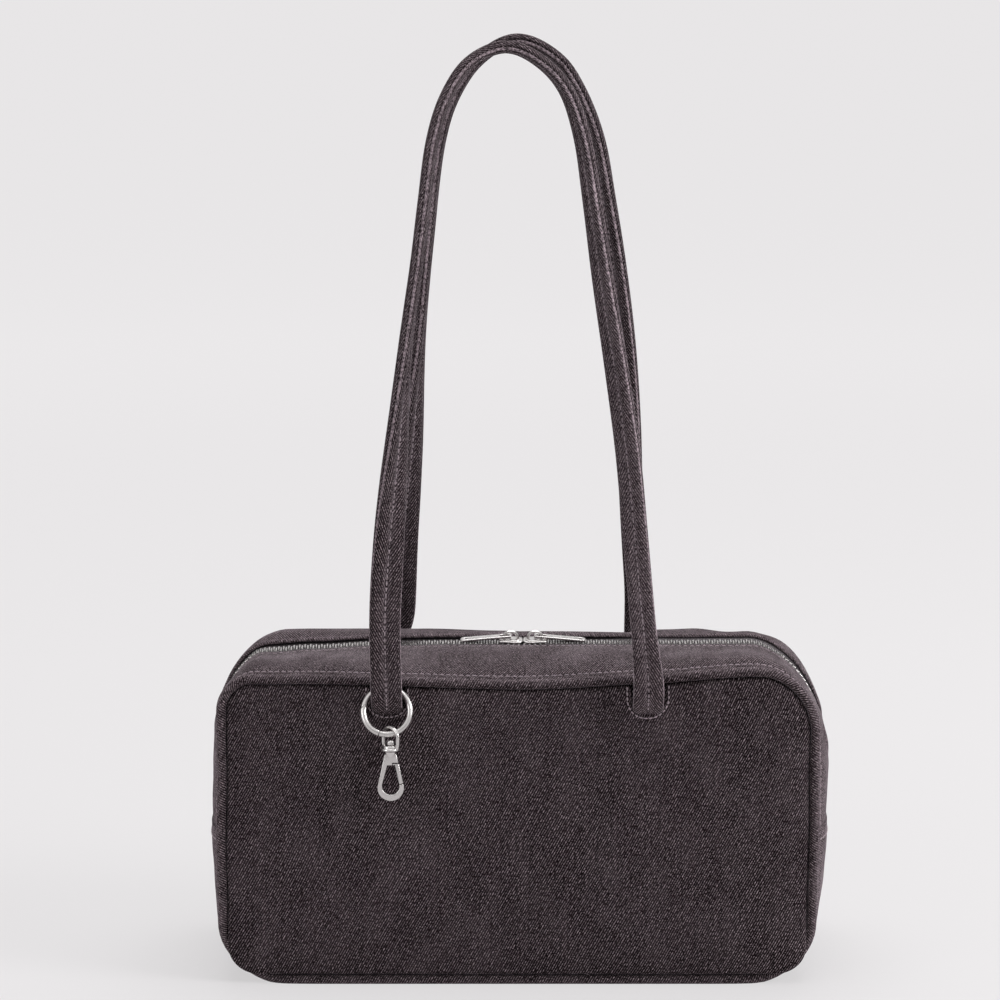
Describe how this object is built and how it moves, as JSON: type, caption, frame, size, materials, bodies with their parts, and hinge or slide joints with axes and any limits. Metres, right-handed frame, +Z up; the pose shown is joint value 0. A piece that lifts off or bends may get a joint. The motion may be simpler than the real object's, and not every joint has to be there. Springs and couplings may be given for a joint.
{
  "type": "bowler bag",
  "caption": "Small boxy bowler handbag in washed black denim with a two-way zip over the top, long shoulder handles and a swivel clasp on a spring ring.",
  "frame": {"origin": "bottom centre of the bag, on the surface that it stands on", "axes": "+Z up, the front panel faces -Y, +X to the right seen from the front"},
  "size_m": [0.3088, 0.1358, 0.4643],
  "materials": {
    "denim": "washed black denim twill",
    "lining": "plain woven cotton lining",
    "zip_tape": "woven zip tape",
    "satin_nickel": "satin nickel plate",
    "base_board": "plain sheet"
  },
  "bodies": {
    "bag": {"front_panel": "denim", "back_panel": "denim", "front_welt": "denim", "back_welt": "denim", "zip_strip_front": "denim", "zip_strip_back": "denim", "base_strip": "denim", "zip_tape_front": "zip_tape", "zip_tape_back": "zip_tape", "zip_teeth_front": "satin_nickel", "zip_teeth_back": "satin_nickel", "front_handle_end_left": "denim", "front_handle_facing_left": "denim", "front_handle_end_right": "denim", "front_handle_facing_right": "denim", "back_handle_end_left": "denim", "back_handle_facing_left": "denim", "back_handle_end_right": "denim", "back_handle_facing_right": "denim", "lining_front": "lining", "lining_back": "lining", "lining_zip_front": "lining", "lining_zip_back": "lining", "lining_base": "lining", "base_board": "base_board"},
    "front_handle": {"front_handle": "denim"},
    "back_handle": {"back_handle": "denim"},
    "zip_slider_left": {"zip_slider_left": "satin_nickel"},
    "zip_slider_right": {"zip_slider_right": "satin_nickel"},
    "zip_pull_left": {"zip_pull_left": "satin_nickel"},
    "zip_pull_right": {"zip_pull_right": "satin_nickel"},
    "key_ring": {"key_ring": "satin_nickel"},
    "key_ring_gate": {"key_ring_gate": "satin_nickel"},
    "clasp_eye": {"clasp_eye": "satin_nickel"},
    "clasp_hook": {"clasp_hook": "satin_nickel"},
    "clasp_gate": {"clasp_gate": "satin_nickel"}
  },
  "joints": [
    {"name": "front_handle_swing", "type": "hinge", "parent": "bag", "child": "front_handle", "pos_m": [0, -0.0679, 0.154], "axis": [1, 0, 0], "range_deg": [0, 100]},
    {"name": "back_handle_swing", "type": "hinge", "parent": "bag", "child": "back_handle", "pos_m": [0, 0.0679, 0.154], "axis": [-1, 0, 0], "range_deg": [0, 100]},
    {"name": "zip_slider_left_slide", "type": "slide", "parent": "bag", "child": "zip_slider_left", "axis": [-1, 0, 0], "range_m": [0, 0.085], "deforming": ["zip_teeth_front", "zip_teeth_back", "zip_tape_front", "zip_tape_back"]},
    {"name": "zip_slider_right_slide", "type": "slide", "parent": "bag", "child": "zip_slider_right", "axis": [1, 0, 0], "range_m": [0, 0.085], "deforming": ["zip_teeth_front", "zip_teeth_back", "zip_tape_front", "zip_tape_back"]},
    {"name": "zip_pull_left_flip", "type": "hinge", "parent": "zip_slider_left", "child": "zip_pull_left", "pos_m": [-0.00315, 0, 0.16455], "axis": [0, 1, 0], "range_deg": [0, 150]},
    {"name": "zip_pull_right_flip", "type": "hinge", "parent": "zip_slider_right", "child": "zip_pull_right", "pos_m": [0.00915, 0, 0.16455], "axis": [0, -1, 0], "range_deg": [0, 150]},
    {"name": "key_ring_swing", "type": "hinge", "parent": "bag", "child": "key_ring", "pos_m": [-0.0635, -0.0545, 0.1494], "axis": [-1, 0, 0], "range_deg": [0, 50]},
    {"name": "key_ring_gate_open", "type": "hinge", "parent": "key_ring", "child": "key_ring_gate", "pos_m": [-0.06699, -0.06276, 0.12896], "axis": [0, 0.9272, -0.3746], "range_deg": [0, 6], "stiffness_Nm_per_rad": 0.02},
    {"name": "clasp_swing", "type": "hinge", "parent": "key_ring", "child": "clasp_eye", "pos_m": [-0.0616, -0.06291, 0.12859], "axis": [-0.9857, -0.0631, -0.1562], "range_deg": [0, 45]},
    {"name": "clasp_swivel", "type": "hinge", "parent": "clasp_eye", "child": "clasp_hook", "pos_m": [-0.0616, -0.06291, 0.10859], "axis": [0, 0, 1], "continuous": true},
    {"name": "clasp_gate_open", "type": "hinge", "parent": "clasp_hook", "child": "clasp_gate", "pos_m": [-0.0597, -0.06291, 0.1133], "axis": [0, 1, 0], "range_deg": [0, 22], "stiffness_Nm_per_rad": 0.02}
  ]
}
